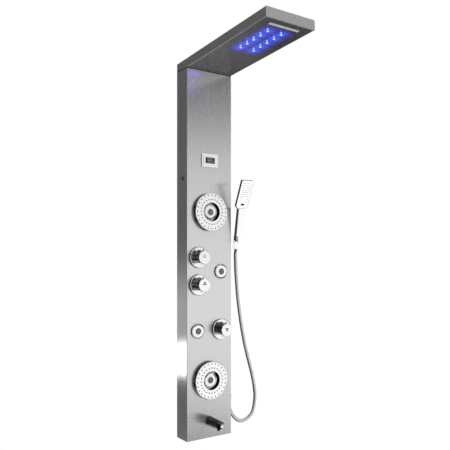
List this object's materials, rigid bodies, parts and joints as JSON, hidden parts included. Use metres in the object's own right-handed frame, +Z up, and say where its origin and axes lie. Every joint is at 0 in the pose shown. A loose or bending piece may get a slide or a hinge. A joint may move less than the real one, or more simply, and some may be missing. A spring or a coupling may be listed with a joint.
{
  "type": "shower panel column",
  "caption": "Wall-hung steel shower column with an overhead rain and waterfall box, body sprays, swivel jets, knobs, a hand shower on its hose and a tub spout.",
  "frame": {"origin": "midpoint between the upper wall bracket's two screw holes, on the wall plane", "axes": "+Z up, +Y into the wall, -Y out of the panel's front towards the bather, +X to the bather's right when facing the panel"},
  "size_m": [0.3586, 0.5473, 1.451],
  "materials": {
    "brushed_sheet": "vertical brushed grain, satin",
    "dark_plate": "dark semi-mirror polish",
    "chrome_metal": "bright chrome plate",
    "chrome_plastic": "bright chrome plate on moulded plastic",
    "brass_cast": "plain cast and turned",
    "silicone": "soft grey nozzles",
    "black_plastic": "matt black moulding",
    "nylon": "translucent white pipe",
    "dark_insert": "gloss black insert",
    "zinc_steel": "plain zinc plate",
    "lamp_lens": "clear blue-lit lens",
    "display_glass": "dark gloss window",
    "hose_metal": "bright ribbed metal"
  },
  "bodies": {
    "panel": {"column_casing": "brushed_sheet", "head_casing": "brushed_sheet", "case_screws": "zinc_steel", "rain_plate": "dark_plate", "rain_nozzles": "silicone", "rain_chamber": "nylon", "lamp_lenses": "lamp_lens", "lamp_strips": "black_plastic", "waterfall_outlet": "chrome_plastic", "display_frame": "chrome_plastic", "display_lens": "display_glass", "display_module": "black_plastic", "upper_body_spray": "chrome_plastic", "lower_body_spray": "chrome_plastic", "spray_nozzles": "silicone", "jet_collars": "chrome_plastic", "jet_nuts": "black_plastic", "knob_flanges": "chrome_plastic", "valve_nuts": "brass_cast", "mixer_body": "brass_cast", "diverter_body": "brass_cast", "jet_manifold": "brass_cast", "riser_tubes": "nylon", "link_tubes": "nylon", "flow_generator": "black_plastic", "lamp_leads": "black_plastic", "tub_spout": "chrome_metal", "spout_aerator": "silicone", "tail_nuts": "brass_cast", "hose_outlet": "chrome_metal", "hose_nut": "chrome_metal", "shower_hose": "hose_metal", "holder_bracket": "chrome_metal", "side_plug": "silicone", "wall_brackets": "zinc_steel"},
    "hot_valve": {"hot_knob": "chrome_metal", "hot_spindle": "brass_cast"},
    "cold_valve": {"cold_knob": "chrome_metal", "cold_spindle": "brass_cast"},
    "diverter_valve": {"diverter_knob": "chrome_metal", "diverter_spindle": "brass_cast"},
    "hose_end": {"hose_cone": "chrome_metal"},
    "handset": {"handset_shell": "chrome_plastic", "handset_face": "chrome_plastic", "handset_nozzles": "silicone"},
    "button": {"handset_button": "silicone"},
    "upper_jet_ring": {"upper_jet_seat": "chrome_plastic"},
    "upper_jet_eye": {"upper_jet_ball": "chrome_plastic", "upper_jet_nozzle": "dark_insert"},
    "lower_jet_ring": {"lower_jet_seat": "chrome_plastic"},
    "lower_jet_eye": {"lower_jet_ball": "chrome_plastic", "lower_jet_nozzle": "dark_insert"},
    "right_jet_ring": {"right_jet_seat": "chrome_plastic"},
    "right_jet_eye": {"right_jet_ball": "chrome_plastic", "right_jet_nozzle": "dark_insert"},
    "left_jet_ring": {"left_jet_seat": "chrome_plastic"},
    "left_jet_eye": {"left_jet_ball": "chrome_plastic", "left_jet_nozzle": "dark_insert"}
  },
  "joints": [
    {"name": "hot_valve_turn", "type": "hinge", "parent": "panel", "child": "hot_valve", "pos_m": [-0.05, -0.074, -0.605], "axis": [0, -1, 0], "range_deg": [0, 90]},
    {"name": "cold_valve_turn", "type": "hinge", "parent": "panel", "child": "cold_valve", "pos_m": [-0.05, -0.074, -0.708], "axis": [0, -1, 0], "range_deg": [-90, 0]},
    {"name": "diverter_turn", "type": "hinge", "parent": "panel", "child": "diverter_valve", "pos_m": [0.05, -0.074, -0.881], "axis": [0, -1, 0], "continuous": true},
    {"name": "upper_jet_spin", "type": "hinge", "parent": "panel", "child": "upper_jet_ring", "pos_m": [0, -0.069, -0.433], "axis": [0, -1, 0], "continuous": true},
    {"name": "upper_jet_tilt", "type": "hinge", "parent": "upper_jet_ring", "child": "upper_jet_eye", "pos_m": [0, -0.069, -0.433], "axis": [1, 0, 0], "range_deg": [-15, 15]},
    {"name": "lower_jet_spin", "type": "hinge", "parent": "panel", "child": "lower_jet_ring", "pos_m": [0, -0.069, -1.071], "axis": [0, -1, 0], "continuous": true},
    {"name": "lower_jet_tilt", "type": "hinge", "parent": "lower_jet_ring", "child": "lower_jet_eye", "pos_m": [0, -0.069, -1.071], "axis": [1, 0, 0], "range_deg": [-15, 15]},
    {"name": "right_jet_spin", "type": "hinge", "parent": "panel", "child": "right_jet_ring", "pos_m": [0.051, -0.067, -0.659], "axis": [0, -1, 0], "continuous": true},
    {"name": "right_jet_tilt", "type": "hinge", "parent": "right_jet_ring", "child": "right_jet_eye", "pos_m": [0.051, -0.067, -0.659], "axis": [1, 0, 0], "range_deg": [-15, 15]},
    {"name": "left_jet_spin", "type": "hinge", "parent": "panel", "child": "left_jet_ring", "pos_m": [-0.053, -0.067, -0.882], "axis": [0, -1, 0], "continuous": true},
    {"name": "left_jet_tilt", "type": "hinge", "parent": "left_jet_ring", "child": "left_jet_eye", "pos_m": [-0.053, -0.067, -0.882], "axis": [1, 0, 0], "range_deg": [-15, 15]},
    {"name": "handset_lift", "type": "slide", "parent": "panel", "child": "hose_end", "axis": [0, -0.2011, 0.9796], "range_m": [0, 0.08]},
    {"name": "handset_swivel", "type": "hinge", "parent": "hose_end", "child": "handset", "pos_m": [0.122, -0.074, -0.578], "axis": [0, -0.2011, 0.9796], "range_deg": [-60, 60]},
    {"name": "button_press", "type": "slide", "parent": "handset", "child": "button", "axis": [0, 0.9164, 0.4003], "range_m": [0, 0.0015], "stiffness_N_per_m": 400, "springref_m": -0.001}
  ]
}
